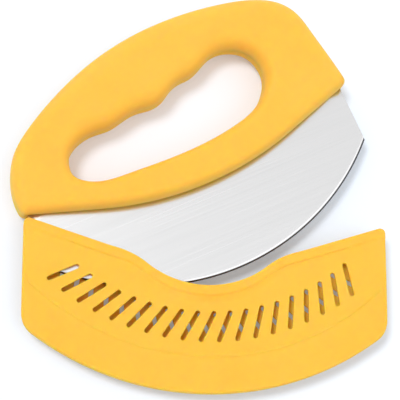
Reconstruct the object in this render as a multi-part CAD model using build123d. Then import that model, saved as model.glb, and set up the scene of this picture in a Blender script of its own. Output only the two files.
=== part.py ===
from build123d import *
from math import asin, cos, degrees, hypot, radians, sin, sqrt, tan
import os

os.makedirs("parts", exist_ok=True)

# Blade: a rocking blade with one long curved cutting edge
blade_length = 196.0
edge_sag = 39.8
blade_thickness = 1.4
bevel_width = 1.8
edge_thickness = 0.3
tang_depth = 11.0
tang_corner = 9.0

# Handle: a closed ring of two shells, with a finger opening above the blade
handle_length = 205.0
handle_rise = 97.7
handle_thickness = 25.0
bar_low = 11.3
bar_radius = 190.0
bar_arc_width = 116.0
bar_depth = 21.4
seam_wall_height = 3.2
bar_rounding = 4.5
grip_rounding = 14.0
bar_lip_rounding = 4.0
grip_lip_rounding = 11.0
shell_wall = 2.5
tang_clearance = 0.25

# Finger opening: where it starts, and how long and high it is
opening_length = 124.6
opening_rise = 46.8
opening_left = 66.0
opening_low = 32.6

# Ribs, bosses and pins inside the handle
rib_thickness = 1.8
boss_radius = 4.2
pin_radius = 2.0
pin_length = 15.0
pin_pitch = 62.0
pin_height = 6.0
pin_clearance = 0.05
pin_end_gap = 0.3
peg_radius = 2.0
peg_length = 5.0
peg_clearance = 0.15

# Cover: two like halves joined round their rim, open along the top edge
cover_length = 204.2
cover_thickness = 8.0
pocket_gap = 3.6
end_wall = 2.0
floor_clearance = 4.6
rim_width = 18.2
rim_wall = 2.0
rim_drop = 0.9
closing_gap = 0.65
scoop_radius = 54.0
scoop_depth = 14.1
scoop_blend = 46.0
cover_foot_corner = 14.0
cover_top_corner = 3.0
pocket_corner = 8.0
edge_rounding = 1.2
lip_width = 6.0
lip_height = 0.7
rim_rib_thickness = 1.6
pad_radius = 6.0
pad_pitch = 176.0
pad_height = 19.0
pad_clearance = 0.05

# Drain slots through each half of the cover
slot_height = 19.0
slot_width = 2.6
slot_to_floor = 18.6
slot_pitch = 9.6
slot_slant = 26.0

# How the cover stands to the knife: its swing point and its angle at rest
swing_x = 101.5
swing_y = 30.5
rest_angle = 24.67

# One overrun serves all cuts
overrun = 5.0

# Worked-out sizes
half_blade = blade_length / 2
edge_radius = (half_blade**2 + edge_sag**2) / (2 * edge_sag)
arc_centre = edge_radius - edge_sag
half_thickness = handle_thickness / 2
half_handle = handle_length / 2
core_depth = half_thickness - shell_wall
bar_centre = bar_low + bar_radius
bar_half_arc = bar_arc_width / 2
bar_angle = asin(bar_half_arc / bar_radius)
land_y = bar_low + bar_depth / 2
half_cover = cover_length / 2
floor_radius = edge_radius + floor_clearance
cover_radius = floor_radius + rim_width

# Handle outline, counterclockwise, as shares of its half length and of its rise. Its last points
# close the oval below the bar, where the bar's lower edge cuts it off.
oval_shares = [
    (0.983, 0.272), (0.963, 0.416), (0.934, 0.598), (0.899, 0.750), (0.838, 0.839), (0.729, 0.908),
    (0.526, 0.965), (0.288, 0.992), (0.036, 0.987), (-0.230, 0.939), (-0.518, 0.831), (-0.753, 0.699),
    (-0.914, 0.560), (-0.981, 0.420), (-0.999, 0.304), (-0.976, 0.175), (-0.878, 0.007),
    (-0.585, -0.146), (0.000, -0.218), (0.585, -0.146), (0.898, -0.024), (0.985, 0.132),
]

# Finger opening, clockwise from its left end, as shares of its length and of its rise
opening_shares = [
    (-0.005, 0.353), (0.027, 0.513), (0.087, 0.609), (0.169, 0.646), (0.242, 0.637), (0.320, 0.678),
    (0.393, 0.702), (0.465, 0.685), (0.531, 0.730), (0.570, 0.794), (0.631, 0.850), (0.684, 0.862),
    (0.745, 0.921), (0.810, 0.999), (0.865, 1.012), (0.926, 0.966), (0.977, 0.861), (1.005, 0.675),
    (1.001, 0.508), (0.964, 0.337), (0.891, 0.173), (0.779, 0.069), (0.610, 0.002), (0.425, -0.013),
    (0.225, 0.007), (0.094, 0.047), (0.027, 0.132), (-0.005, 0.235),
]
softening_passes = 5
rounding_angles = [0.0, 22.5, 45.0, 67.5, 90.0]

# Ribs stand on rays from the middle of the opening; the pegs' places are shares of the handle
rib_angles = [14.0, 38.0, 84.0, 104.0, 124.0, 160.0, 186.0]
peg_shares = [(-0.800, 0.430), (-0.290, 0.745), (0.440, 0.880), (0.770, 0.560)]


def bar_edge_y(x):
    """Height of the handle's lower edge at x: an arc in the middle, straight runs outside it."""
    if abs(x) <= bar_half_arc:
        return bar_centre - sqrt(bar_radius**2 - x**2)
    return bar_centre - bar_radius * cos(bar_angle) + (abs(x) - bar_half_arc) * tan(bar_angle)


def under_bar(drop, height=0.0):
    """The region below the handle's lower edge, moved down by drop: under a straight run, an arc
    about the bar's centre and a straight run, each tangent to the next."""
    radius = bar_radius + drop
    dx, dy = radius * sin(bar_angle), bar_centre - radius * cos(bar_angle)
    reach = half_handle + overrun
    rise = (reach - dx) * tan(bar_angle)
    depth = -cover_radius
    arc = Edge.make_three_point_arc(
        (-dx, dy, height), (0, bar_centre - radius, height), (dx, dy, height)
    )
    corners = [
        (dx, dy, height), (reach, dy + rise, height), (reach, depth, height),
        (-reach, depth, height), (-reach, dy + rise, height), (-dx, dy, height),
    ]
    lines = [Edge.make_line(a, b) for a, b in zip(corners, corners[1:])]
    return Face(Wire([arc] + lines))


def inward(points, distances):
    """Moves each point of a counterclockwise outline to its left, square to the outline there."""
    moved = []
    for i, (x, y) in enumerate(points):
        (x0, y0), (x1, y1) = points[i - 1], points[(i + 1) % len(points)]
        run = hypot(x1 - x0, y1 - y0)
        moved.append((x - (y1 - y0) / run * distances[i], y + (x1 - x0) / run * distances[i]))
    return moved


def softened(points):
    """Averages each point with its two neighbours, so that the finger seats fade out."""
    for _ in range(softening_passes):
        after = points[1:] + points[:1]
        before = points[-1:] + points[:-1]
        points = [
            ((ax + 2 * x + bx) / 4, (ay + 2 * y + by) / 4)
            for (ax, ay), (x, y), (bx, by) in zip(after, points, before)
        ]
    return points


def rounding(points, at_bar, at_grip):
    """How far the rounded edge reaches in at each point: it grows with height above the bar."""
    shares = [min(max((y - bar_low) / handle_rise, 0), 1) for x, y in points]
    return [at_bar + (at_grip - at_bar) * share for share in shares]


def closed_curve(points, height, knots):
    """A smooth closed curve through points at a height, with the same knots on every level."""
    edge = Edge.make_spline([Vector(x, y, height) for x, y in points], periodic=True, parameters=knots)
    return Wire([edge])


def chord_knots(points):
    """Knots that grow with the straight distance from each point to the next."""
    knots = [0.0]
    for (x0, y0), (x1, y1) in zip(points, points[1:] + points[:1]):
        knots.append(knots[-1] + hypot(x1 - x0, y1 - y0))
    return knots


def rounded_levels(top):
    """Share of the rounding and height at each level of a quarter ellipse on the upright wall."""
    return [
        (1 - cos(radians(angle)), seam_wall_height + (top - seam_wall_height) * sin(radians(angle)))
        for angle in rounding_angles
    ]


def rounded_pieces(foot, crown, top):
    """Two solids, one on the other: an upright wall on the foot outline and a quarter ellipse
    that rounds it in to the crown outline."""
    knots = chord_knots([((x0 + x1) / 2, (y0 + y1) / 2) for (x0, y0), (x1, y1) in zip(foot, crown)])
    levels = []
    for share, height in rounded_levels(top):
        ring = [(x0 + share * (x1 - x0), y0 + share * (y1 - y0)) for (x0, y0), (x1, y1) in zip(foot, crown)]
        levels.append(closed_curve(ring, height, knots))
    wall = extrude(Face(closed_curve(foot, 0, knots)), seam_wall_height, (0, 0, 1))
    return wall, Solid.make_loft(levels)


def bar_stack(lift, top):
    """Three solids that fill what lies below the handle's rounded lower edge, lifted by lift."""
    levels = [under_bar(-lift - share * bar_rounding, height) for share, height in rounded_levels(top)]
    return [
        extrude(under_bar(-lift, -overrun), seam_wall_height + overrun, (0, 0, 1)),
        Solid.make_loft([face.outer_wire() for face in levels]),
        extrude(levels[-1], overrun, (0, 0, 1)),
    ]


outer = [(x * half_handle, bar_low + y * handle_rise) for x, y in oval_shares]
outer_crown = inward(outer, rounding(outer, bar_rounding, grip_rounding))

opening = [(x * opening_length - opening_left, opening_low + y * opening_rise) for x, y in opening_shares]
opening.reverse()
grown = [-d for d in rounding(opening, bar_lip_rounding, grip_lip_rounding)]
opening_crown = inward(softened(opening), grown)

pin_places = [(x, bar_edge_y(x) + pin_height) for x in (-pin_pitch, 0, pin_pitch)]
peg_places = [(x * half_handle, bar_low + y * handle_rise) for x, y in peg_shares]


def blade_outline(grow):
    """The blade's flat outline: the cutting edge's arc, upright ends and the tang's top edge."""
    width = blade_length + 2 * grow
    face = Pos(0, arc_centre) * Circle(edge_radius) & Rectangle(width, 4 * edge_radius)
    face &= under_bar(-tang_depth - grow)
    top_corners = face.vertices().sort_by(Axis.Y)[-2:]
    return chamfer(top_corners, tang_corner)


def make_blade():
    """Stainless sheet with a narrow bevel ground on both sides of the cutting edge, and a tang
    whose three holes take the pins."""
    half = blade_thickness / 2
    blade = extrude(Pos(0, 0, -half) * blade_outline(0), blade_thickness)
    inner, outside = edge_radius - bevel_width, edge_radius + overrun
    slope = (blade_thickness - edge_thickness) / 2 / bevel_width
    drop = half - slope * (outside - inner)
    ring = Face(Wire.make_polygon([(inner, 0, half), (outside, 0, half), (outside, 0, drop)]))
    bevel = Pos(0, arc_centre) * revolve(ring, Axis.Z)
    blade -= bevel
    blade -= mirror(bevel, Plane.XY)
    for x, y in pin_places:
        blade -= Pos(x, y) * Cylinder(pin_radius + pin_clearance, 2 * blade_thickness)
    return blade


def core_cells():
    """The flat outlines of the hollows between the handle's ribs, far enough inside the rounded
    skin to leave the wall's thickness at their full depth."""
    share = 1 - sqrt(1 - ((core_depth - seam_wall_height) / (half_thickness - seam_wall_height))**2)
    outside = [shell_wall + share * d for d in rounding(outer, bar_rounding, grip_rounding)]
    inside = [-shell_wall - share * d for d in rounding(opening, bar_lip_rounding, grip_lip_rounding)]
    rings = [inward(outer, outside), inward(opening, inside)]
    outer_ring, inner_ring = [closed_curve(ring, 0, chord_knots(ring)) for ring in rings]
    cells = Face(outer_ring, [inner_ring]) - under_bar(-shell_wall - share * bar_rounding)
    middle = (opening_length / 2 - opening_left, opening_low + opening_rise / 2)
    for angle in rib_angles:
        rib = Rectangle(handle_length, rib_thickness, align=(Align.MIN, Align.CENTER))
        cells -= Pos(*middle) * Rot(0, 0, angle) * rib
    for x, y in pin_places + peg_places:
        cells -= Pos(x, y) * Circle(boss_radius)
    return cells


def make_shell():
    """One half of the handle: a rounded ring, cored from its seam face between ribs and round
    bosses. Its skin is put together face by face, because nothing in it crosses."""
    wall, round_part = rounded_pieces(outer, outer_crown, half_thickness)
    body = wall + round_part
    for tool in bar_stack(0, half_thickness):
        body -= tool
    flats = body.faces().filter_by(Axis.Z).sort_by(Axis.Z)
    skin = list(body.faces() - flats)
    hole_wall, hole_round = rounded_pieces(opening, opening_crown, half_thickness)
    for piece in (hole_wall, hole_round):
        skin += list(piece.faces() - piece.faces().filter_by(Axis.Z))
    foot_hole = hole_wall.faces().sort_by(Axis.Z)[0].outer_wire()
    crown_hole = hole_round.faces().sort_by(Axis.Z)[-1].outer_wire()
    cells = core_cells().faces()
    for cell in cells:
        prism = extrude(cell, core_depth, (0, 0, 1))
        mouth = prism.faces().filter_by(Axis.Z).sort_by(Axis.Z)[0]
        skin += [face for face in prism.faces() if face != mouth]
        skin += [Face(wire) for wire in cell.inner_wires()]
    skin.append(flats[0].make_holes([foot_hole] + [cell.outer_wire() for cell in cells]))
    skin.append(flats[-1].make_holes([crown_hole]))
    shell = Part() + Solid(Shell(skin))
    shell -= extrude(blade_outline(tang_clearance), blade_thickness / 2)
    hole_depth = pin_length / 2 + pin_end_gap
    for x, y in pin_places:
        shell -= Pos(x, y) * Cylinder(pin_radius + pin_clearance, 2 * hole_depth)
    return shell


def make_pins():
    """Three plain steel pins through the tang, each held in a boss of both shells."""
    return Part() + [Pos(x, y) * Cylinder(pin_radius, pin_length) for x, y in pin_places]


def under_top_edge():
    """The region below the cover's top edge: shoulders that follow the handle's lower edge, and a
    scoop in the middle that bares the blade."""
    scoop_low = bar_low - scoop_depth
    face = under_bar(closing_gap) - Pos(0, scoop_low + scoop_radius) * Circle(scoop_radius)
    rims = face.vertices().sort_by(lambda v: abs(abs(v.X) - scoop_radius * sin(radians(45))))[:2]
    return fillet(rims, scoop_blend)


def cover_outline():
    """The cover's flat outline: the top edge, upright ends and an arc below."""
    face = Pos(0, arc_centre) * Circle(cover_radius) & Rectangle(cover_length, 4 * cover_radius)
    face &= under_top_edge()
    feet = face.vertices().sort_by(Axis.Y)[:2]
    face = fillet(feet, cover_foot_corner)
    tops = face.vertices().sort_by(Axis.Y)[-2:]
    return fillet(tops, cover_top_corner)


def pocket_outline():
    """The blade's pocket: concentric with the cutting edge and open at the top."""
    width = cover_length - 2 * end_wall
    face = Pos(0, arc_centre) * Circle(floor_radius) & Rectangle(width, 4 * cover_radius)
    face = fillet(face.vertices().sort_by(Axis.Y)[:2], pocket_corner)
    return face


def slot_cutter():
    """A row of plain slanted slots with round ends, set out along the cover's arc."""
    row_radius = floor_radius - slot_to_floor
    step = degrees(slot_pitch / row_radius)
    reach = degrees(asin((half_cover - end_wall - slot_height) / row_radius))
    count = int(reach / step)
    slots = []
    for i in range(-count, count + 1):
        turn = Pos(0, arc_centre) * Rot(0, 0, i * step) * Pos(0, -row_radius) * Rot(0, 0, 90 - slot_slant)
        slots.append(turn * SlotOverall(slot_height, slot_width))
    return extrude(Sketch() + slots, cover_thickness)


def make_cover_half():
    """One half of the cover: a plate with rounded edges, cut lower below the lip along its top
    edge, end walls, a hollow rim with ribs, and two round pads that grip the blade's side."""
    half = cover_thickness / 2
    outline = cover_outline()
    body = extrude(outline, half + lip_height)
    body = fillet(body.faces().sort_by(Axis.Z)[-1].edges(), edge_rounding)
    body -= extrude(Pos(0, -lip_width, half) * under_top_edge(), overrun, (0, 0, 1))
    inner, outside = floor_radius, cover_radius + overrun
    drop = rim_drop * (outside - inner) / rim_width
    slope = Face(Wire.make_polygon([(inner, 0, half), (outside, 0, half), (outside, 0, half - drop)]))
    body -= Pos(0, arc_centre) * revolve(slope, Axis.Z)
    body -= extrude(pocket_outline(), pocket_gap / 2)
    core = offset(outline, -rim_wall) - Pos(0, arc_centre) * Circle(floor_radius + rim_wall)
    core_radius = floor_radius + rim_width / 2
    rib_count = 2 * int(half_cover / rim_width) + 1
    reach = degrees(asin((half_cover - cover_foot_corner) / core_radius))
    for i in range(rib_count):
        turn = Rot(0, 0, (2 * i / (rib_count - 1) - 1) * reach)
        core -= Pos(0, arc_centre) * turn * Pos(0, -core_radius) * Rectangle(rim_rib_thickness, 2 * rim_width)
    body -= extrude(core, pocket_gap / 2)
    body -= slot_cutter()
    pad_depth = (pocket_gap - blade_thickness) / 2 - pad_clearance
    pad = Cylinder(pad_radius, pad_depth, align=(Align.CENTER, Align.CENTER, Align.MAX))
    body += [Pos(x, pad_height, pocket_gap / 2) * pad for x in (-pad_pitch / 2, pad_pitch / 2)]
    return body


def at_knife(piece):
    """Lifts a piece from the blade's middle plane to the frame whose origin lies on the flat
    crown of the handle's back, in the middle of the bar."""
    return Pos(0, -land_y, half_thickness) * piece


def at_cover(piece):
    """Swings a piece of the cover from closed to the angle at which it lies, then places it."""
    swing = Pos(-swing_x, swing_y) * Rot(0, 0, -rest_angle) * Pos(swing_x, -swing_y)
    return at_knife(swing * piece)


front_shell = make_shell()
back_shell = mirror(front_shell, Plane.XY)
peg = Pos(0, 0, -peg_length / 2) * Cylinder(peg_radius, peg_length)
socket = Cylinder(peg_radius + peg_clearance, 2 * (peg_length + pin_end_gap))
front_shell += [Pos(x, y) * peg for x, y in peg_places]
back_shell -= [Pos(x, y) * socket for x, y in peg_places]

cover_half = make_cover_half()

nodes = {
    "blade": at_knife(make_blade()),
    "front_handle_shell": at_knife(front_shell),
    "back_handle_shell": at_knife(back_shell),
    "tang_pins": at_knife(make_pins()),
    "front_cover_half": at_cover(cover_half),
    "back_cover_half": at_cover(Rot(0, 180, 0) * cover_half),
}
for name, piece in nodes.items():
    export_step(piece, f"parts/{name}.step")
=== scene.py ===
"""Looks, light and camera for a rocking pizza knife with a ring handle and a slotted cover."""

from math import asin, atan2, cos, pi, radians, sin, sqrt, tan

import bmesh
import bpy
import numpy as np
from mathutils import Euler, Matrix, Vector


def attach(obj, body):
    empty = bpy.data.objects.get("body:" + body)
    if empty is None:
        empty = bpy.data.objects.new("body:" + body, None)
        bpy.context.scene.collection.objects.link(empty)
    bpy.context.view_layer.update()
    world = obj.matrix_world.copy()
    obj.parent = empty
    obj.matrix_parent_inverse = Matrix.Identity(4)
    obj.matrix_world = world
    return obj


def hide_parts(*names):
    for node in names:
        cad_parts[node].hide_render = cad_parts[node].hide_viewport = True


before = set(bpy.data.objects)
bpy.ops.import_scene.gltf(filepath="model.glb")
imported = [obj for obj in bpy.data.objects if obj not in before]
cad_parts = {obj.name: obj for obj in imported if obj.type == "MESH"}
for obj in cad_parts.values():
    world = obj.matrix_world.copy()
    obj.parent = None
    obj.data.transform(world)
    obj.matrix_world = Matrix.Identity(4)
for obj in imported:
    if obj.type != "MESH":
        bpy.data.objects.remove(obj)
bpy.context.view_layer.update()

# All lengths below are in millimetres. The knife's own plane has x along the chord of the cutting
# edge, y up from the chord to the grip, and z = 0 in the blade's middle plane. The shared frame's
# origin lies LAND_Y above the chord and MIDDLE_Z under that plane.
MM = 0.001
LAND_Y = 22.0
MIDDLE_Z = 12.5

# Handle
HALF_HANDLE = 102.5
HANDLE_RISE = 97.7
HANDLE_HALF_THICKNESS = 12.5
SEAM_WALL = 3.2
SEAM_GROOVE = 0.22
FOOT_GROOVE = 0.7
BAR_LOW = 11.3
BAR_RADIUS = 190.0
BAR_CENTRE = BAR_LOW + BAR_RADIUS
BAR_HALF_ARC = 58.0
BAR_ANGLE = asin(BAR_HALF_ARC / BAR_RADIUS)
CORNER_SOFTNESS = 2.6
BAR_ROUNDING = 4.5
GRIP_ROUNDING = 14.0
BAR_LIP_ROUNDING = 4.0
GRIP_LIP_ROUNDING = 11.0
BAR_FULLNESS = 2.8
GRIP_FULLNESS = 2.0
OPENING_LENGTH = 124.6
OPENING_RISE = 46.8
OPENING_LEFT = 66.0
OPENING_LOW = 32.6

# Blade
HALF_BLADE = 98.0
EDGE_RADIUS = 140.551
ARC_CENTRE = 100.751
HALF_SHEET = 0.7
HALF_EDGE = 0.15
BEVEL = 1.8
FINE_BEVEL = 0.95
FINE_HALF = 0.46
TIP_ROUNDING = 0.02
CREASE = 0.05
CREASE_DROP = 0.01
TANG_DEPTH = 11.0
TANG_CORNER = 9.0
TANG_GAP = 0.25
FOOT_BAND = 0.6

# Cover
HALF_COVER = 102.1
COVER_HALF_THICKNESS = 4.0
POCKET_HALF = 1.8
FLOOR_RADIUS = EDGE_RADIUS + 4.6
FOOT_RADIUS = FLOOR_RADIUS + 18.2
END_WALL = 2.0
CLOSING_GAP = 0.65
FOOT_CORNER = 14.0
TOP_CORNER = 3.0
SCOOP_RADIUS = 54.0
SCOOP_LOW = BAR_LOW - 14.1
SCOOP_BLEND = 46.0
RIM_LINE_RADIUS = 143.2
RIM_DROP = 0.9
RIM_STEP = 0.18
RIM_STEP_WIDTH = 0.6
RIM_HOLLOW = 0.2
RIM_HOLLOW_WIDTH = 0.35
LIP_WIDTH = 6.0
LIP_HEIGHT = 0.7
LIP_SLOPE_START = LIP_WIDTH - 0.9
LIP_SLOPE_WIDTH = 1.1
LIP_HOLLOW = 0.25
LIP_HOLLOW_PLACE = LIP_WIDTH + 0.3
LIP_HOLLOW_WIDTH = 0.4
SWELL_HEIGHT = 1.5
SWELL_WIDTH = 38.0
SWELL_SLOPE_START = 4.5
SWELL_SLOPE_WIDTH = 5.5
COVER_ROUNDING = 1.2
WELD_GROOVE = 0.25
WELD_WALL = 0.35
PAD_X = 88.0
PAD_Y = 19.0
PAD_RADIUS = 6.0
PAD_RISE = 1.05
PAD_EDGE = 0.6

# Drain slots
SLOT_COUNT = 19
SLOT_HALF_LENGTH = 9.5
SLOT_HALF_WIDTH = 1.3
SLOT_SLANT = radians(26.0)
SLOT_ROW_RADIUS = FLOOR_RADIUS - 18.6
SLOT_STEP = 9.6 / SLOT_ROW_RADIUS
SLOT_BAND = 10.6
SLOT_ROUNDING = 0.35
SLOT_INSIDE_ROUNDING = 0.2

# Swing of the cover
SWING = np.array([-101.5, 30.5])
REST_TURN = radians(-24.67)

# Finishes, as linear colours: a light and a dark tone of each, and the two tones of the ground edge, of
# which the fine bevel's near-black tone is a painted dark reflection
HANDLE_TONES = ((1.0, 0.54, 0.084), (1.0, 0.525, 0.076))
COVER_TONES = ((1.0, 0.54, 0.074), (1.0, 0.525, 0.068))
SHEET_TONES = ((0.69, 0.69, 0.695), (0.67, 0.67, 0.675))
PIN_TONES = ((0.60, 0.60, 0.61), (0.50, 0.50, 0.51))
BEVEL_TONE = (0.64, 0.64, 0.645)
# Painted dark reflection: the fine bevel's near-black base colour stands in for the dark surroundings a
# ground edge mirrors
FINE_BEVEL_PAINTED_REFLECTION = (0.09, 0.09, 0.095)
FLOOR_TONE = (0.70, 0.765, 0.85)

# Handle outline, counterclockwise, as shares of its half length and of its rise above the bar
OVAL_SHARES = [
    (0.983, 0.272), (0.963, 0.416), (0.934, 0.598), (0.899, 0.750), (0.838, 0.839), (0.729, 0.908),
    (0.526, 0.965), (0.288, 0.992), (0.036, 0.987), (-0.230, 0.939), (-0.518, 0.831), (-0.753, 0.699),
    (-0.914, 0.560), (-0.981, 0.420), (-0.999, 0.304), (-0.976, 0.175), (-0.878, 0.007),
    (-0.585, -0.146), (0.000, -0.218), (0.585, -0.146), (0.898, -0.024), (0.985, 0.132),
]

# Finger opening, clockwise from its left end, as shares of its length and of its rise
OPENING_SHARES = [
    (-0.005, 0.353), (0.027, 0.513), (0.087, 0.609), (0.169, 0.646), (0.242, 0.637), (0.320, 0.678),
    (0.393, 0.702), (0.465, 0.685), (0.531, 0.730), (0.570, 0.794), (0.631, 0.850), (0.684, 0.862),
    (0.745, 0.921), (0.810, 0.999), (0.865, 1.012), (0.926, 0.966), (0.977, 0.861), (1.005, 0.675),
    (1.001, 0.508), (0.964, 0.337), (0.891, 0.173), (0.779, 0.069), (0.610, 0.002), (0.425, -0.013),
    (0.225, 0.007), (0.094, 0.047), (0.027, 0.132), (-0.005, 0.235),
]


# Lines and distances, which are measured for a block of points at a time
BLOCK_POINTS = 3000


def smooth_ring(points, per_span):
    """Points on the closed cubic spline through the given points. Knots grow with the straight
    distance from point to point. The slopes at the points solve the ring of equations that makes
    the curvature the same on both sides of each point, and each span is its two ends and slopes
    blended by the cubic Hermite weights."""
    p = np.array(points)
    after = np.roll(p, -1, axis=0)
    h = np.hypot(*(after - p).T)
    h_before = np.roll(h, 1)
    n = len(p)
    system = np.zeros((n, n))
    i = np.arange(n)
    system[i, i] = 2 / h + 2 / h_before
    system[i, (i + 1) % n] += 1 / h
    system[i, (i - 1) % n] += 1 / h_before
    rise = (after - p) / h[:, None] ** 2
    slopes = np.linalg.solve(system, 3 * (rise + np.roll(rise, 1, axis=0)))
    t = (np.arange(per_span) / per_span)[None, :, None]
    span, s0, s1 = h[:, None, None], slopes[:, None], np.roll(slopes, -1, axis=0)[:, None]
    here, there = p[:, None], after[:, None]
    curve = here * (2 * t**3 - 3 * t**2 + 1) + there * (3 * t**2 - 2 * t**3)
    curve = curve + span * (s0 * (t**3 - 2 * t**2 + t) + s1 * (t**3 - t**2))
    return curve.reshape(-1, 2)


def distance_to(points, line):
    """Least distance from each point to a closed line of straight runs: the foot of the square
    line from the point to a run, kept between the run's two ends."""
    start = line
    run = np.roll(line, -1, axis=0) - start
    length2 = np.maximum((run**2).sum(1), 1e-12)
    nearest = []
    for block in np.array_split(points, max(1, len(points) // BLOCK_POINTS)):
        gap = block[:, None] - start[None]
        share = np.clip((gap * run).sum(2) / length2, 0, 1)
        nearest.append(np.hypot(*(gap - share[..., None] * run).transpose(2, 0, 1)).min(1))
    return np.concatenate(nearest)


def arc(centre, radius, start, end, count):
    """Points on a circle's arc between two angles in radians."""
    turn = np.linspace(start, end, count)
    return np.stack([centre[0] + radius * np.cos(turn), centre[1] + radius * np.sin(turn)], 1)


def eased(share):
    """Smooth step: three squares less two cubes of the share, kept between 0 and 1."""
    share = np.clip(share, 0, 1)
    return share * share * (3 - 2 * share)


def above_bar(points):
    """Signed distance above the handle's lower edge: the bar radius less the distance to the arc's
    centre, and outside the arc's two end rays the distance to the straight run it turns into."""
    x, y = np.abs(points[:, 0]), points[:, 1]
    round_part = BAR_RADIUS - np.hypot(x, BAR_CENTRE - y)
    start_x, start_y = BAR_RADIUS * sin(BAR_ANGLE), BAR_CENTRE - BAR_RADIUS * cos(BAR_ANGLE)
    straight = (y - start_y) * cos(BAR_ANGLE) - (x - start_x) * sin(BAR_ANGLE)
    return np.where(np.arctan2(x, BAR_CENTRE - y) < BAR_ANGLE, round_part, straight)


def closed(line):
    """A line, or the rows of an array, with the first again at the end."""
    return np.vstack([line, line[:1]])


def lengths(line):
    """Length along an open line from its start to each of its points."""
    return np.concatenate([[0], np.cumsum(np.hypot(*np.diff(line, axis=0).T))])


def points_at(line, at):
    """Points on an open line at the given lengths along it, each on the straight run it falls on."""
    length = lengths(line)
    return np.stack([np.interp(at, length, line[:, 0]), np.interp(at, length, line[:, 1])], 1)


def even_steps(line, count):
    """The closed line sampled again at equal steps of its own length."""
    ring = closed(line)
    return points_at(ring, np.linspace(0, lengths(ring)[-1], count, endpoint=False))


def dense(line, spacing):
    """An open line with points added on its runs, so that no step is longer than the spacing."""
    length = lengths(line)
    return points_at(line, np.union1d(length, np.arange(0, length[-1], spacing)))


def outward(line):
    """Unit vectors square to a closed counterclockwise line, pointing out of it."""
    run = np.roll(line, -1, axis=0) - np.roll(line, 1, axis=0)
    run /= np.hypot(*run.T)[:, None]
    return np.stack([run[:, 1], -run[:, 0]], 1)


# Meshes

# In metres: corners this near are one, and an edge this short is none
SAME_PLACE = 2e-7
NO_LENGTH = 1e-8


def grid_quads(numbers):
    """Quads between neighbouring rows and columns of an array of corner numbers."""
    near, far = numbers[:-1], numbers[1:]
    return np.stack([near[:, :-1], near[:, 1:], far[:, 1:], far[:, :-1]], -1).reshape(-1, 4)


def to_row(points):
    """From the knife's plane in millimetres to the shared frame in metres."""
    return (points + np.array([0, -LAND_Y, MIDDLE_Z])) * MM


def swung(points):
    """Points of the cover turned about the swing point from closed to the angle of rest."""
    turn = np.array([[cos(REST_TURN), -sin(REST_TURN)], [sin(REST_TURN), cos(REST_TURN)]])
    moved = points.copy()
    moved[:, :2] = (points[:, :2] - SWING) @ turn.T + SWING
    return moved


def turned_over(points):
    """Half a turn about the y axis: x and z change sign."""
    return points * np.array([-1.0, 1.0, -1.0])


def mesh_piece(name, points, quads, body, slot, material, node):
    """Puts corners and quads into a mesh, joins corners that coincide, turns every face outwards
    and hands the piece to its body in place of its node."""
    mesh = bpy.data.meshes.new(name)
    mesh.vertices.add(len(points))
    mesh.vertices.foreach_set("co", to_row(points).ravel())
    mesh.loops.add(quads.size)
    mesh.loops.foreach_set("vertex_index", quads.ravel().astype(np.int32))
    mesh.polygons.add(len(quads))
    mesh.polygons.foreach_set("loop_start", np.arange(0, quads.size, 4, dtype=np.int32))
    mesh.update(calc_edges=True)
    work = bmesh.new()
    work.from_mesh(mesh)
    bmesh.ops.remove_doubles(work, verts=work.verts, dist=SAME_PLACE)
    bmesh.ops.dissolve_degenerate(work, edges=work.edges, dist=NO_LENGTH)
    bmesh.ops.recalc_face_normals(work, faces=work.faces)
    work.to_mesh(mesh)
    work.free()
    mesh.polygons.foreach_set("use_smooth", np.ones(len(mesh.polygons), dtype=bool))
    mesh.materials.append(material)
    mesh.update()
    piece = bpy.data.objects.new(name, mesh)
    bpy.context.scene.collection.objects.link(piece)
    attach(piece, body)
    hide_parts(node)
    return piece


# Materials

# Most of a noise's values lie between these two
NOISE_LOW = 0.3
NOISE_HIGH = 0.7


class Nodes:
    """A material's node tree, with short ways to add a node and a link."""

    def __init__(self, name):
        self.material = bpy.data.materials.new(name)
        self.material.use_nodes = True
        self.tree = self.material.node_tree
        self.shader = self.tree.nodes["Principled BSDF"]
        self.place = self.add("ShaderNodeTexCoord").outputs["Object"]

    def add(self, kind, **settings):
        """A new node of a kind, with its settings."""
        node = self.tree.nodes.new(kind)
        for key, value in settings.items():
            setattr(node, key, value)
        return node

    def link(self, source, target):
        """Feeds one node's output to another's input."""
        self.tree.links.new(source, target)

    def noise(self, scale, detail, stretch=(1, 1, 1)):
        """Noise on object coordinates, stretched along an axis by a small share there."""
        mapping = self.add("ShaderNodeMapping")
        mapping.inputs["Scale"].default_value = stretch
        self.link(self.place, mapping.inputs["Vector"])
        noise = self.add("ShaderNodeTexNoise")
        noise.inputs["Scale"].default_value = scale
        noise.inputs["Detail"].default_value = detail
        self.link(mapping.outputs["Vector"], noise.inputs["Vector"])
        return noise.outputs["Fac"]

    def between(self, source, low, high):
        """Spreads the middle of a noise's range over the given span."""
        spread = self.add("ShaderNodeMapRange")
        spread.inputs["From Min"].default_value = NOISE_LOW
        spread.inputs["From Max"].default_value = NOISE_HIGH
        spread.inputs["To Min"].default_value = low
        spread.inputs["To Max"].default_value = high
        self.link(source, spread.inputs["Value"])
        return spread.outputs["Result"]

    def bump(self, height, distance, strength, under=None):
        """A normal tilted by the slope of a height, over the tilt of another bump if one is given."""
        bump = self.add("ShaderNodeBump")
        bump.inputs["Distance"].default_value = distance
        bump.inputs["Strength"].default_value = strength
        self.link(height, bump.inputs["Height"])
        if under is not None:
            self.link(under, bump.inputs["Normal"])
        return bump.outputs["Normal"]


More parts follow.
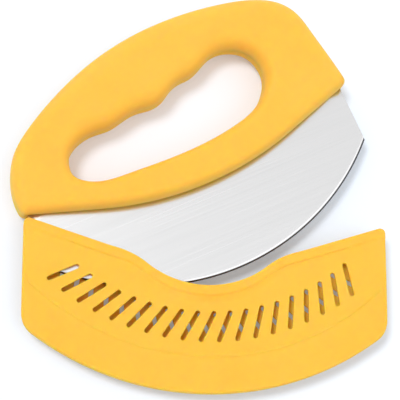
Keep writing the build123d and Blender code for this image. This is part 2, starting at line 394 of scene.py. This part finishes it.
def moulded_plastic(name, tones, roughness, depth):
    """Satin moulded plastic: a slow drift between two close tones, a fine spark-eroded grain in
    its bump and gloss, and a little light let in under its skin, down to a depth in metres."""
    m = Nodes(name)
    light, dark = tones
    tone = m.add("ShaderNodeMix", data_type="RGBA")
    tone.inputs["A"].default_value = (*dark, 1)
    tone.inputs["B"].default_value = (*light, 1)
    m.link(m.between(m.noise(scale=26, detail=2), 0, 1), tone.inputs["Factor"])
    m.link(tone.outputs["Result"], m.shader.inputs["Base Color"])
    gloss = m.between(m.noise(scale=420, detail=3), roughness - 0.05, roughness + 0.05)
    m.link(gloss, m.shader.inputs["Roughness"])
    ripple = m.bump(m.noise(scale=60, detail=1), distance=0.0004, strength=0.12)
    grain = m.bump(m.noise(scale=2600, detail=2), distance=0.00003, strength=0.35, under=ripple)
    m.link(grain, m.shader.inputs["Normal"])
    m.shader.inputs["Specular IOR Level"].default_value = 0.07
    m.shader.inputs["Subsurface Weight"].default_value = 1.0
    m.shader.inputs["Subsurface Radius"].default_value = (1.0, 0.35, 0.06)
    m.shader.inputs["Subsurface Scale"].default_value = depth
    return m.material


def brushed_steel(name, tones, roughness):
    """Stainless sheet: grinding lines that run along the chord, in tone, gloss and bump, over a
    faint cloudiness from the rolling."""
    m = Nodes(name)
    light, dark = tones
    lines = m.noise(scale=900, detail=4, stretch=(0.012, 1, 1))
    tone = m.add("ShaderNodeMix", data_type="RGBA")
    tone.inputs["A"].default_value = (*dark, 1)
    tone.inputs["B"].default_value = (*light, 1)
    cloud = m.add("ShaderNodeMath", operation="MULTIPLY_ADD")
    m.link(m.noise(scale=14, detail=2), cloud.inputs[0])
    cloud.inputs[1].default_value = 0.4
    m.link(m.between(lines, -0.2, 0.8), cloud.inputs[2])
    m.link(cloud.outputs["Value"], tone.inputs["Factor"])
    m.link(tone.outputs["Result"], m.shader.inputs["Base Color"])
    m.link(m.between(lines, roughness - 0.01, roughness + 0.015), m.shader.inputs["Roughness"])
    m.link(m.bump(lines, distance=0.00001, strength=0.06), m.shader.inputs["Normal"])
    m.shader.inputs["Metallic"].default_value = 1.0
    return m


def ground_edge(m, bright, dark):
    """The grinding at the cutting edge, by distance from the edge's centre: the bevel has a tone of its
    own, and the fine bevel at its rim is painted near black, a painted dark reflection of the
    surroundings that a sharp edge mirrors."""
    flat = m.add("ShaderNodeVectorMath", operation="MULTIPLY_ADD")
    m.link(m.place, flat.inputs[0])
    flat.inputs[1].default_value = (1, 1, 0)
    flat.inputs[2].default_value = (0, -(ARC_CENTRE - LAND_Y) * MM, 0)
    radius = m.add("ShaderNodeVectorMath", operation="LENGTH")
    m.link(flat.outputs["Vector"], radius.inputs[0])
    colour = m.shader.inputs["Base Color"].links[0].from_socket
    # The fine bevel's band lays a painted dark reflection over the sheet's colour
    for inset, tone in ((BEVEL, bright), (FINE_BEVEL, dark)):
        band = m.add("ShaderNodeMapRange")
        band.inputs["From Min"].default_value = (EDGE_RADIUS - inset - CREASE) * MM
        band.inputs["From Max"].default_value = (EDGE_RADIUS - inset + CREASE) * MM
        m.link(radius.outputs["Value"], band.inputs["Value"])
        mix = m.add("ShaderNodeMix", data_type="RGBA")
        m.link(band.outputs["Result"], mix.inputs["Factor"])
        m.link(colour, mix.inputs["A"])
        mix.inputs["B"].default_value = (*tone, 1)
        colour = mix.outputs["Result"]
    m.link(colour, m.shader.inputs["Base Color"])


handle_plastic = moulded_plastic("handle_plastic", HANDLE_TONES, roughness=0.5, depth=0.006)
cover_plastic = moulded_plastic("cover_plastic", COVER_TONES, roughness=0.54, depth=0.0035)
blade_finish = brushed_steel("blade_steel", SHEET_TONES, roughness=0.26)
# The fine bevel along the edge gets a near-black tone, which is painted dark reflection
ground_edge(blade_finish, BEVEL_TONE, FINE_BEVEL_PAINTED_REFLECTION)
blade_steel = blade_finish.material
pin_steel = brushed_steel("pin_steel", PIN_TONES, roughness=0.35).material


# Making the handle

HANDLE_COLUMNS = 760
CROWN_ROWS = 46
SEAM_ROWS = 12
LINE_POINTS = 3000

# Every ray from the ring's middle meets the handle's outer edge once, between these two distances
RING_MIDDLE = np.array([-4.0, 50.0])
LEAST_REACH = 20.0
GREATEST_REACH = 130.0
EDGE_RAYS = 2400
HALVINGS = 22

# Over this share of a rounding, the slopes from the outer edge and from the opening blend
BLEND_SHARE = 0.1

# Rows of the groove at the wall's foot: share of the wall's height, and share of the groove's depth
GROOVE_SHARES = [(0.12, 0.85), (0.4, 0.45), (0.62, 0.0)]

# Marks that belong together: a place on the handle's outer edge, and one on the opening's edge
RING_MARKS = [
    ((0.0, 11.3), (4.0, 33.0)), ((101.5, 35.5), (54.0, 48.5)), ((93.0, 85.0), (55.0, 72.3)),
    ((29.5, 108.8), (27.0, 75.5)), ((-53.2, 92.7), (-35.8, 61.9)), ((-101.0, 52.5), (-66.0, 49.0)),
    ((-102.0, 35.5), (-61.0, 38.0)),
]

oval_places = [(x * HALF_HANDLE, BAR_LOW + y * HANDLE_RISE) for x, y in OVAL_SHARES]
oval = smooth_ring(oval_places, per_span=24)
opening_places = [
    (x * OPENING_LENGTH - OPENING_LEFT, OPENING_LOW + y * OPENING_RISE) for x, y in OPENING_SHARES[::-1]
]
opening = smooth_ring(opening_places, per_span=20)


def inside_oval(points):
    """Signed distance to the oval: positive where a point is nearer to the ring's middle than the
    oval is on the same ray."""
    def polar(xy):
        gap = xy - RING_MIDDLE
        return np.arctan2(gap[:, 1], gap[:, 0]), np.hypot(*gap.T)
    angle, radius = polar(oval)
    order = np.argsort(angle)
    own_angle, own_radius = polar(points)
    edge = np.interp(own_angle, angle[order], radius[order], period=2 * pi)
    return np.where(own_radius < edge, 1, -1) * distance_to(points, oval)


def inside_handle(points):
    """Signed distance to the handle's outer edge: the lesser of the distances to the oval and to
    the bar's lower edge, with the corner between them rounded by a quadratic blend."""
    a, b = inside_oval(points), above_bar(points)
    overlap = np.maximum(CORNER_SOFTNESS - np.abs(a - b), 0)
    return np.minimum(a, b) - overlap**2 / (4 * CORNER_SOFTNESS)


def handle_edge(count):
    """The handle's outer edge: on each ray from the ring's middle, the span in which the edge lies
    is halved again and again."""
    turn = np.linspace(-pi, pi, count, endpoint=False)
    ray = np.stack([np.cos(turn), np.sin(turn)], 1)
    near, far = np.full(count, LEAST_REACH), np.full(count, GREATEST_REACH)
    for _ in range(HALVINGS):
        middle = (near + far) / 2
        within = inside_handle(RING_MIDDLE + ray * middle[:, None]) > 0
        near, far = np.where(within, middle, near), np.where(within, far, middle)
    return RING_MIDDLE + ray * near[:, None]


def mark_lengths(line, marks):
    """Length along a closed line to the point nearest each mark, growing from mark to mark and on
    to the first mark again, and the line's whole length."""
    length = lengths(closed(line))
    at = np.array([length[np.argmin(np.hypot(*(line - np.array(mark)).T))] for mark in marks])
    at = at[0] + np.mod(at - at[0], length[-1])
    return np.append(at, at[0] + length[-1]), length[-1]


def paired(outer_line, inner_line, marks, count):
    """Matching points on two closed lines. Each pair of marks fixes one outer and one inner place;
    between marks both lines run at an even speed, and each stretch gets columns by the mean of
    its two lengths."""
    outer_at, outer_whole = mark_lengths(outer_line, [outer for outer, inner in marks])
    inner_at, inner_whole = mark_lengths(inner_line, [inner for outer, inner in marks])
    speed = np.diff(outer_at) / outer_whole + np.diff(inner_at) / inner_whole
    knots = np.concatenate([[0], np.cumsum(speed)]) / speed.sum()
    share = np.arange(count) / count
    outer_points = points_at(closed(outer_line), np.mod(np.interp(share, knots, outer_at), outer_whole))
    inner_points = points_at(closed(inner_line), np.mod(np.interp(share, knots, inner_at), inner_whole))
    return outer_points, inner_points


def dome(share, fullness):
    """Height share over a rounded edge: a quarter of a superellipse of the share of the way in. A
    fullness of 2 is the plain ellipse; more of it holds the crown flat for longer."""
    share = np.clip(share, 0, 1)
    return (1 - (1 - share) ** fullness) ** (1 / fullness)


def handle_height(points):
    """Height of the front surface: from the seam wall's top, a dome of the way in from the nearest
    edge. The way in is the soft least of the shares from the outer edge and from the opening. Both
    roundings widen from the bar up to the grip, and the dome gets less full."""
    level = np.clip((points[:, 1] - BAR_LOW) / HANDLE_RISE, 0, 1)
    outer_rounding = BAR_ROUNDING + (GRIP_ROUNDING - BAR_ROUNDING) * level
    lip_rounding = BAR_LIP_ROUNDING + (GRIP_LIP_ROUNDING - BAR_LIP_ROUNDING) * level
    from_outside = np.maximum(inside_handle(points), 0) / outer_rounding
    from_opening = distance_to(points, opening) / lip_rounding
    blend = np.exp(-from_outside / BLEND_SHARE) + np.exp(-from_opening / BLEND_SHARE)
    share = -BLEND_SHARE * np.log(blend)
    fullness = BAR_FULLNESS + (GRIP_FULLNESS - BAR_FULLNESS) * level
    return SEAM_WALL + (HANDLE_HALF_THICKNESS - SEAM_WALL) * dome(share, fullness)


def wall_rows(line, normal, base, depth):
    """Rows of the upright wall, from its foot up to where the dome starts. The foot is drawn in by
    the groove's depth, and the rows above it by their shares of that."""
    rows = [(line - depth * normal, base)]
    for share, inset in GROOVE_SHARES:
        rows.append((line - depth * inset * normal, base + (SEAM_WALL - base) * share))
    return rows


def handle_shell():
    """One half of the handle: rows run round the ring, from the seam up the outer wall, over the
    crown and down the opening's wall to the seam again, then back across the seam face. Rows crowd
    towards both edges as one less the cosine. A shallow groove marks the seam. Over the blade the
    wall's foot is drawn in further, and the seam face stands clear of the tang."""
    edge = even_steps(handle_edge(EDGE_RAYS), LINE_POINTS)
    outside, inside = paired(edge, even_steps(opening, LINE_POINTS), RING_MARKS, HANDLE_COLUMNS)
    on_tang = (np.abs(outside[:, 0]) < HALF_BLADE + TANG_GAP) & (above_bar(outside) < FOOT_BAND)
    lift = np.where(on_tang, HALF_SHEET + TANG_GAP, 0.0)
    groove = np.where(on_tang, FOOT_GROOVE, SEAM_GROOVE)[:, None]
    rows = wall_rows(outside, outward(outside), lift, groove)
    for share in (1 - np.cos(np.linspace(0, pi, CROWN_ROWS))) / 2:
        line = outside + (inside - outside) * share
        height = handle_height(line)
        if share in (0.0, 1.0):
            height = np.full(HANDLE_COLUMNS, SEAM_WALL)
        rows.append((line, height))
    rows += wall_rows(inside, -outward(inside), np.zeros(HANDLE_COLUMNS), SEAM_GROOVE)[::-1]
    for share in np.linspace(1, 0, SEAM_ROWS)[1:-1]:
        line = outside + (inside - outside) * share
        over_tang = above_bar(line) < TANG_DEPTH + TANG_GAP
        over_tang &= np.abs(line[:, 0]) < HALF_BLADE + TANG_GAP
        rows.append((line, np.where(over_tang, HALF_SHEET + TANG_GAP, 0.0)))
    rows.append(rows[0])
    points = np.concatenate([np.column_stack([line, height]) for line, height in rows])
    numbers = np.arange(len(rows) * HANDLE_COLUMNS).reshape(len(rows), HANDLE_COLUMNS)
    numbers = np.hstack([numbers, numbers[:, :1]])
    return points, grid_quads(numbers)


shell_points, shell_quads = handle_shell()
mesh_piece(
    "handle_front", shell_points, shell_quads, "knife", "handle_plastic",
    handle_plastic, "front_handle_shell",
)
mesh_piece(
    "handle_back", shell_points * np.array([1, 1, -1]), shell_quads, "knife", "handle_plastic",
    handle_plastic, "back_handle_shell",
)


# Making the blade

BLADE_COLUMNS = 260
SHEET_SHARES = [0, 0.04, 0.1, 0.25, 0.5, 0.75, 1.0]


def blade_sheet():
    """The blade: columns stand on the cutting edge's arc, and rows climb from the edge over the
    ground bevel to the flat and on to the tang's top. The back is the front with z turned round."""
    half = np.sin(np.linspace(-pi / 2, pi / 2, BLADE_COLUMNS))
    x = HALF_BLADE * half
    past = np.maximum(np.abs(x) - BAR_HALF_ARC, 0)
    top = BAR_CENTRE - np.sqrt(BAR_RADIUS**2 - (np.abs(x) - past) ** 2) + past * tan(BAR_ANGLE)
    top = top + TANG_DEPTH - np.maximum(np.abs(x) - (HALF_BLADE - TANG_CORNER), 0)

    def on_arc(radius):
        return ARC_CENTRE - np.sqrt(radius**2 - x**2)

    rows = [
        (on_arc(EDGE_RADIUS), 0.0),
        (on_arc(EDGE_RADIUS - TIP_ROUNDING), HALF_EDGE),
        (on_arc(EDGE_RADIUS - FINE_BEVEL), FINE_HALF),
        (on_arc(EDGE_RADIUS - BEVEL + CREASE), HALF_SHEET - CREASE_DROP),
    ]
    flat_start = on_arc(EDGE_RADIUS - BEVEL - 2 * CREASE)
    for share in SHEET_SHARES:
        rows.append((flat_start + (top - flat_start) * share, HALF_SHEET))
    front = [np.column_stack([x, y, np.full_like(x, z)]) for y, z in rows]
    back = [row * np.array([1, 1, -1]) for row in front[::-1]]
    ring = front + back
    points = np.concatenate(ring)
    numbers = np.arange(len(points)).reshape(len(ring), BLADE_COLUMNS)
    quads = [grid_quads(closed(numbers))]
    count = len(front)
    for column in (0, BLADE_COLUMNS - 1):
        side = np.stack([numbers[:count, column], numbers[count:, column][::-1]], 1)
        quads.append(grid_quads(side))
    return points, np.concatenate(quads)


mesh_piece("blade_sheet", *blade_sheet(), "knife", "blade_steel", blade_steel, "blade")


# Making the cover

CELL_COLUMNS = 8
SIDE_COLUMNS = 26
SIDE_CROWDING = 1.6
UPPER_ROWS = 6
BAND_ROWS = 12
OUTLINE_SPACING = 0.25
POCKET_MARGIN = 0.01
LEAST_SINE = 0.05

# Rows of the cover's face: distances below the top edge, and shares of the way from the slots down
# to the pocket's floor and from there out to the foot
EDGE_STEPS = [
    0, 0.02, 0.1, 0.25, 0.45, 0.7, 1.0, 1.3, 2.2, 3.4, 4.3,
    4.8, 5.1, 5.4, 5.7, 6.0, 6.25, 6.5, 6.8, 7.4, 8.3, 9.4,
]
LOWER_SHARES = [0.25, 0.5, 0.7, 0.73, 0.755, 0.78, 0.81, 0.96]
RIM_SHARES = [0.0, 0.03, 0.2, 0.4, 0.6, 0.75, 0.86, 0.93, 0.97, 0.99, 1.0]

# Rings round each slot, by their distance from it
SLOT_RINGS = [0.35, 0.24, 0.13, 0.05, 0.0]


def cover_half_outline():
    """Right half of the cover's outline, from the scoop's middle along the top edge, round the
    shoulder, down the side and along the foot to its middle. The blend between scoop and shoulder
    is centred where the two circles grown by its radius meet."""
    scoop_y = SCOOP_LOW + SCOOP_RADIUS
    a, b = BAR_RADIUS + CLOSING_GAP + SCOOP_BLEND, SCOOP_RADIUS + SCOOP_BLEND
    gap = BAR_CENTRE - scoop_y
    blend_y = BAR_CENTRE - (a * a - b * b + gap * gap) / (2 * gap)
    blend_x = sqrt(a * a - (BAR_CENTRE - blend_y) ** 2)
    to_scoop = atan2(scoop_y - blend_y, -blend_x)
    to_bar = atan2(BAR_CENTRE - blend_y, -blend_x)
    radius = BAR_RADIUS + CLOSING_GAP
    start_x, start_y = radius * sin(BAR_ANGLE), BAR_CENTRE - radius * cos(BAR_ANGLE)
    corner_x = HALF_COVER - TOP_CORNER
    corner_y = start_y + (corner_x - start_x) * tan(BAR_ANGLE) - TOP_CORNER / cos(BAR_ANGLE)
    foot_x = HALF_COVER - FOOT_CORNER
    foot_y = ARC_CENTRE - sqrt((FOOT_RADIUS - FOOT_CORNER) ** 2 - foot_x**2)
    foot_turn = atan2(foot_y - ARC_CENTRE, foot_x)
    parts = [
        arc((0, scoop_y), SCOOP_RADIUS, -pi / 2, to_scoop - pi, count=80)[:-1],
        arc((blend_x, blend_y), SCOOP_BLEND, to_scoop, to_bar, count=50)[:-1],
        arc((0, BAR_CENTRE), radius, to_bar - pi, BAR_ANGLE - pi / 2, count=60),
        arc((corner_x, corner_y), TOP_CORNER, BAR_ANGLE + pi / 2, 0, count=40),
        arc((foot_x, foot_y), FOOT_CORNER, 0, foot_turn, count=50)[:-1],
        arc((0, ARC_CENTRE), FOOT_RADIUS, foot_turn, -pi / 2, count=160),
    ]
    return np.concatenate(parts)


half_outline = dense(cover_half_outline(), OUTLINE_SPACING)
outline_angle = np.arctan2(half_outline[:, 0], ARC_CENTRE - half_outline[:, 1])
outline_radius = np.hypot(half_outline[:, 0], ARC_CENTRE - half_outline[:, 1])
tip = int(np.argmax(outline_angle))
TIP_ANGLE = float(outline_angle[tip])
left_outline = (half_outline * np.array([-1, 1]))[::-1]
cover_outline = np.concatenate([half_outline, left_outline[1:-1]])


def top_radius(angle):
    """Distance from the arc's centre to the cover's top edge, by angle from straight down."""
    return np.interp(np.abs(angle), outline_angle[: tip + 1], outline_radius[: tip + 1])


def foot_radius(angle):
    """Distance from the arc's centre to the cover's foot or side, by angle from straight down."""
    return np.interp(np.abs(angle), outline_angle[tip:][::-1], outline_radius[tip:][::-1])


def floor_radius(angle):
    """Distance to the pocket's floor, or to the inside of the end wall where that is nearer."""
    wall = (HALF_COVER - END_WALL) / np.maximum(np.sin(np.abs(angle)), LEAST_SINE)
    return np.maximum(np.minimum(FLOOR_RADIUS, wall), top_radius(angle))


def top_edge_height(x):
    """Height of the cover's top edge at x."""
    return np.interp(np.abs(x), half_outline[: tip + 1, 0], half_outline[: tip + 1, 1])


def slot_centres():
    """Middle and direction of each slot: set out along the row's arc and slanted alike."""
    turn = (np.arange(SLOT_COUNT) - SLOT_COUNT // 2) * SLOT_STEP
    middle = np.stack([SLOT_ROW_RADIUS * np.sin(turn), ARC_CENTRE - SLOT_ROW_RADIUS * np.cos(turn)], 1)
    lean = pi / 2 - SLOT_SLANT + turn
    return middle, np.stack([np.cos(lean), np.sin(lean)], 1)


def slot_distance(points):
    """Distance to the nearest slot: to its middle line, less its half width."""
    middle, along = slot_centres()
    gap = points[:, None] - middle[None]
    reach = SLOT_HALF_LENGTH - SLOT_HALF_WIDTH
    share = np.clip((gap * along).sum(2), -reach, reach)
    return np.hypot(*(gap - share[..., None] * along).transpose(2, 0, 1)).min(1) - SLOT_HALF_WIDTH


def bell(distance, width):
    """Bell curve: e to the power of minus the square of the distance over the width."""
    return np.exp(-((distance / width) ** 2))


def rounded_drop(distance, rounding):
    """How far a rounded edge lies below the face: a quarter circle of the distance from it."""
    share = np.clip(distance / rounding, 0, 1)
    return rounding * (1 - np.sqrt(1 - (1 - share) ** 2))


def cover_face(points):
    """Height of the cover's outer face: the flat, with a lip along the top edge, a soft swell under
    the lip round the scoop, a fine step and a slope out over the rim, and rounded edges. A bell
    curve's hollow runs along the foot of the lip and along the step."""
    x, y = points[:, 0], points[:, 1]
    below_top = top_edge_height(x) - y
    radius = np.hypot(x, ARC_CENTRE - y)
    lip = LIP_HEIGHT * (1 - eased((below_top - LIP_SLOPE_START) / LIP_SLOPE_WIDTH))
    swell = SWELL_HEIGHT * bell(x, SWELL_WIDTH)
    swell *= 1 - eased((below_top - SWELL_SLOPE_START) / SWELL_SLOPE_WIDTH)
    step = RIM_STEP * eased((radius - RIM_LINE_RADIUS + RIM_STEP_WIDTH / 2) / RIM_STEP_WIDTH)
    hollows = LIP_HOLLOW * bell(below_top - LIP_HOLLOW_PLACE, LIP_HOLLOW_WIDTH)
    hollows += RIM_HOLLOW * bell(radius - RIM_LINE_RADIUS, RIM_HOLLOW_WIDTH)
    slope = RIM_DROP * np.clip((radius - RIM_LINE_RADIUS) / (FOOT_RADIUS - RIM_LINE_RADIUS), 0, 1)
    edge = rounded_drop(distance_to(points, cover_outline), COVER_ROUNDING)
    rim = rounded_drop(np.maximum(slot_distance(points), 0), SLOT_ROUNDING)
    return COVER_HALF_THICKNESS + lip + swell - step - hollows - slope - edge - rim


def cover_inside(points):
    """Height of the cover's inner face: the pocket's wall with two round pads that grip the blade,
    and the seam plane over the rim and the end walls."""
    x, y = points[:, 0], points[:, 1]
    angle, radius = np.arctan2(x, ARC_CENTRE - y), np.hypot(x, ARC_CENTRE - y)
    in_pocket = (radius < floor_radius(angle) - POCKET_MARGIN) & (np.abs(x) < HALF_COVER - END_WALL)
    past_pad = np.hypot(np.abs(x) - PAD_X, y - PAD_Y) - PAD_RADIUS
    pad = 1 - eased((past_pad + PAD_EDGE / 2) / PAD_EDGE)
    rim = rounded_drop(np.maximum(slot_distance(points), 0), SLOT_INSIDE_ROUNDING)
    return np.where(in_pocket, POCKET_HALF - PAD_RISE * pad + rim, 0.0)


def cover_grid():
    """Corners of the cover's face on rows that follow the top edge, the slot band and the foot, and
    on columns that slant with the slots inside the band and stand upright at the two tips. Beyond
    the last slots, each row keeps its share of the way from the top edge to the pocket's floor."""
    band_angle = SLOT_COUNT / 2 * SLOT_STEP
    ends = 1 - (1 - np.linspace(0, 1, SIDE_COLUMNS + 1)[1:]) ** SIDE_CROWDING
    side = band_angle + (TIP_ANGLE - band_angle) * ends
    inner = np.linspace(-band_angle, band_angle, SLOT_COUNT * CELL_COLUMNS + 1)
    column = np.concatenate([-side[::-1], inner, side])
    fade = 1 - eased((np.abs(column) - band_angle) / (TIP_ANGLE - band_angle))
    band_top, band_low = SLOT_ROW_RADIUS - SLOT_BAND, SLOT_ROW_RADIUS + SLOT_BAND
    lean = tan(SLOT_SLANT) / SLOT_ROW_RADIUS
    rows = [("top", step) for step in EDGE_STEPS]
    rows += [("upper", share) for share in np.linspace(0, 1, UPPER_ROWS + 1)[1:-1]]
    rows += [("band", share) for share in np.linspace(0, 1, BAND_ROWS + 1)]
    rows += [("lower", share) for share in LOWER_SHARES]
    rows += [("rim", share) for share in RIM_SHARES]

    def row_radius(kind, value, angle):
        top, floor = top_radius(angle), floor_radius(angle)
        if kind == "top":
            return top + value
        if kind == "upper":
            start = top + EDGE_STEPS[-1]
            return start + (band_top - start) * value
        if kind == "band":
            return band_top + (band_low - band_top) * value + 0 * angle
        return band_low + (floor - band_low) * value

    places = []
    for kind, value in rows:
        reach = {"top": SLOT_BAND, "upper": SLOT_BAND, "band": SLOT_BAND * (1 - 2 * value)}
        angle = column + reach.get(kind, -SLOT_BAND) * lean * fade
        top, floor, foot = top_radius(angle), floor_radius(angle), foot_radius(angle)
        if kind == "rim":
            radius = floor + (foot - floor) * value
        else:
            radius = row_radius(kind, value, angle)
            for sign in (-1, 1):
                past = sign * column > band_angle
                end = np.array([sign * band_angle + reach.get(kind, -SLOT_BAND) * lean])
                end_top, end_floor = top_radius(end), floor_radius(end)
                share = (row_radius(kind, value, end) - end_top) / (end_floor - end_top)
                radius = np.where(past, top + (floor - top) * share, radius)
        places.append(np.stack([radius * np.sin(angle), ARC_CENTRE - radius * np.cos(angle)], 1))
    return np.array(places), [kind for kind, value in rows]


def slot_rings(perimeter):
    """Corners between each slot and the cell it stands in. A slot's outline has a half circle for
    each short side of the cell and a straight run for each long side, and is grown by each ring's
    distance; one more ring lies halfway to the cell's sides."""
    middle, along = slot_centres()
    across = np.stack([along[:, 1], -along[:, 0]], 1)
    reach = SLOT_HALF_LENGTH - SLOT_HALF_WIDTH
    short = np.linspace(pi, 0, CELL_COLUMNS, endpoint=False)
    run = np.linspace(reach, -reach, BAND_ROWS, endpoint=False)
    one, zero = np.ones(BAND_ROWS), np.zeros(BAND_ROWS)
    side_x = np.concatenate([np.cos(short), one, np.cos(short - pi), -one])
    side_y = np.concatenate([np.sin(short), zero, np.sin(short - pi), zero])
    shift = np.concatenate([np.full(CELL_COLUMNS, reach), run, np.full(CELL_COLUMNS, -reach), -run])
    rings = []
    for grow in SLOT_RINGS:
        size = SLOT_HALF_WIDTH + grow
        u, v = size * side_x, shift + size * side_y
        ring = middle[:, None] + u[None, :, None] * across[:, None] + v[None, :, None] * along[:, None]
        rings.append(ring)
    halfway = (perimeter + rings[0]) / 2
    return np.stack([halfway] + rings, 1)


def cover_shell():
    """One half of the cover: the outer face and the inner face on the same corners, joined by walls
    round the outline and round each slot. At the outline the inner face is drawn in a little, which
    leaves a fine groove along the welded seam."""
    places, kinds = cover_grid()
    row_count, column_count = places.shape[:2]
    numbers = np.arange(row_count * column_count).reshape(row_count, column_count)
    band = [i for i, kind in enumerate(kinds) if kind == "band"]
    first, last = band[0], band[-1]
    left = SIDE_COLUMNS + np.arange(SLOT_COUNT) * CELL_COLUMNS
    right = left + CELL_COLUMNS
    steps = np.arange(CELL_COLUMNS)
    down = np.arange(BAND_ROWS)
    loop = np.hstack([
        numbers[first, left[:, None] + steps],
        numbers[first + down][:, right].T,
        numbers[last, right[:, None] - steps],
        numbers[last - down][:, left].T,
    ])
    flat_places = places.reshape(-1, 2)
    rings = slot_rings(flat_places[loop])
    ring_numbers = len(flat_places) + np.arange(rings[..., 0].size).reshape(rings.shape[:3])
    face_points = np.concatenate([flat_places, rings.reshape(-1, 2)])

    kept = np.ones((row_count - 1, column_count - 1), dtype=bool)
    kept[first:last, SIDE_COLUMNS : SIDE_COLUMNS + SLOT_COUNT * CELL_COLUMNS] = False
    quads = [grid_quads(numbers)[kept.ravel()]]
    stack = np.concatenate([loop[:, None], ring_numbers], 1)
    stack = np.concatenate([stack, stack[:, :, :1]], 2)
    quads += [grid_quads(cell) for cell in stack]
    face_quads = np.concatenate(quads)

    drawn_in = face_points.copy()
    middle = np.array([0.0, ARC_CENTRE])
    for row, sign in ((0, 1), (row_count - 1, -1)):
        ray = places[row] - middle
        room = np.minimum(WELD_GROOVE, np.hypot(*(places[-1] - places[0]).T) / 4)
        drawn_in[numbers[row]] += sign * ray / np.hypot(*ray.T)[:, None] * room[:, None]
    outer = np.column_stack([face_points, cover_face(face_points)])
    inner = np.column_stack([drawn_in, cover_inside(face_points)])
    count = len(face_points)
    border = np.concatenate([numbers[0], numbers[-1, ::-1][1:-1]])
    border = np.append(border, border[0])
    step_in = np.minimum(inner[border, 2] + WELD_WALL, outer[border, 2])
    collar = np.column_stack([face_points[border], step_in])
    collar_numbers = 2 * count + np.arange(len(border))
    points = np.concatenate([outer, inner, collar])
    walls = [grid_quads(np.stack([border, collar_numbers, border + count]))]
    mouths = ring_numbers[:, -1]
    mouths = np.concatenate([mouths, mouths[:, :1]], 1)
    walls += [grid_quads(np.stack([mouth, mouth + count])) for mouth in mouths]
    return points, np.concatenate([face_quads, face_quads[:, ::-1] + count] + walls)


cover_points, cover_quads = cover_shell()
mesh_piece(
    "cover_front", swung(cover_points), cover_quads, "cover", "cover_plastic",
    cover_plastic, "front_cover_half",
)
mesh_piece(
    "cover_back", swung(turned_over(cover_points)), cover_quads, "cover", "cover_plastic",
    cover_plastic, "back_cover_half",
)

# The pins keep their CAD solid, in steel
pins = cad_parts["tang_pins"]
pins.data.materials.clear()
pins.data.materials.append(pin_steel)


# Floor, light and camera

# In metres
FLOOR_HALF = 6.0
FLOOR_DROP = 0.0002

# The camera: its turns about x, y and z in degrees, its place in metres, its lens in millimetres
VIEW_TURNS = (14.573, -7.978, -24.782)
VIEW_PLACE = (-0.2081, -0.1707, 0.8655)
VIEW_LENS = 142.155


def shown_as_white(tree, extra):
    """The share of extra white that only the camera, reflections and clear plastics see."""
    path = tree.nodes.new("ShaderNodeLightPath")
    seen = path.outputs["Is Camera Ray"]
    for ray in ("Is Glossy Ray", "Is Transmission Ray"):
        either = tree.nodes.new("ShaderNodeMath")
        either.operation = "MAXIMUM"
        tree.links.new(seen, either.inputs[0])
        tree.links.new(path.outputs[ray], either.inputs[1])
        seen = either.outputs["Value"]
    amount = tree.nodes.new("ShaderNodeMath")
    amount.operation = "MULTIPLY"
    tree.links.new(seen, amount.inputs[0])
    amount.inputs[1].default_value = extra
    return amount.outputs["Value"]


def pale_floor(tone, extra):
    """A large pale sheet just under the object. It keeps the shadows, and looks white where no
    shadow falls."""
    material = bpy.data.materials.new("pale_floor")
    material.use_nodes = True
    tree = material.node_tree
    shader = tree.nodes["Principled BSDF"]
    shader.inputs["Base Color"].default_value = (*tone, 1)
    shader.inputs["Roughness"].default_value = 0.9
    shader.inputs["Specular IOR Level"].default_value = 0.0
    shader.inputs["Emission Color"].default_value = (1, 1, 1, 1)
    tree.links.new(shown_as_white(tree, extra), shader.inputs["Emission Strength"])
    mesh = bpy.data.meshes.new("floor")
    signs = ((-1, -1), (1, -1), (1, 1), (-1, 1))
    corners = [(x * FLOOR_HALF, y * FLOOR_HALF, -FLOOR_DROP) for x, y in signs]
    mesh.from_pydata(corners, [], [(0, 1, 2, 3)])
    mesh.materials.append(material)
    floor = bpy.data.objects.new("floor", mesh)
    bpy.context.scene.collection.objects.link(floor)


def far_lamp(name, towards, width, strength):
    """A large soft lamp so far away that it lights every part alike. Its width is the angle, in
    degrees, over which it spreads."""
    data = bpy.data.lights.new(name, "SUN")
    data.angle = radians(width)
    data.energy = strength
    lamp = bpy.data.objects.new(name, data)
    bpy.context.scene.collection.objects.link(lamp)
    lamp.matrix_world = Vector(towards).to_track_quat("Z", "Y").to_matrix().to_4x4()


def pale_world(strength, seen):
    """Even light of one strength from all sides, which the camera and reflections see at another:
    1 is plain white."""
    world = bpy.data.worlds.new("studio")
    bpy.context.scene.world = world
    world.use_nodes = True
    tree = world.node_tree
    background = tree.nodes["Background"]
    background.inputs["Color"].default_value = (1, 1, 1, 1)
    total = tree.nodes.new("ShaderNodeMath")
    total.operation = "ADD"
    total.inputs[1].default_value = strength
    tree.links.new(shown_as_white(tree, seen - strength), total.inputs[0])
    tree.links.new(total.outputs["Value"], background.inputs["Strength"])


def photo_camera():
    """The photograph's view: a long lens from above, tilted towards the lower left."""
    data = bpy.data.cameras.new("camera")
    data.sensor_width = 36.0
    data.lens = VIEW_LENS
    data.clip_start = 0.05
    data.clip_end = 20.0
    camera = bpy.data.objects.new("camera", data)
    bpy.context.scene.collection.objects.link(camera)
    turn = Euler([radians(angle) for angle in VIEW_TURNS])
    camera.matrix_world = Matrix.Translation(VIEW_PLACE) @ turn.to_matrix().to_4x4()
    bpy.context.scene.camera = camera


pale_floor(FLOOR_TONE, extra=0.18)
pale_world(strength=0.67, seen=1.0)
far_lamp("key", towards=(-0.25, 0.28, 0.927), width=17.0, strength=1.45)
far_lamp("fill", towards=(0.35, -0.45, 0.82), width=50.0, strength=0.45)
photo_camera()
bpy.context.scene.view_settings.view_transform = "Standard"
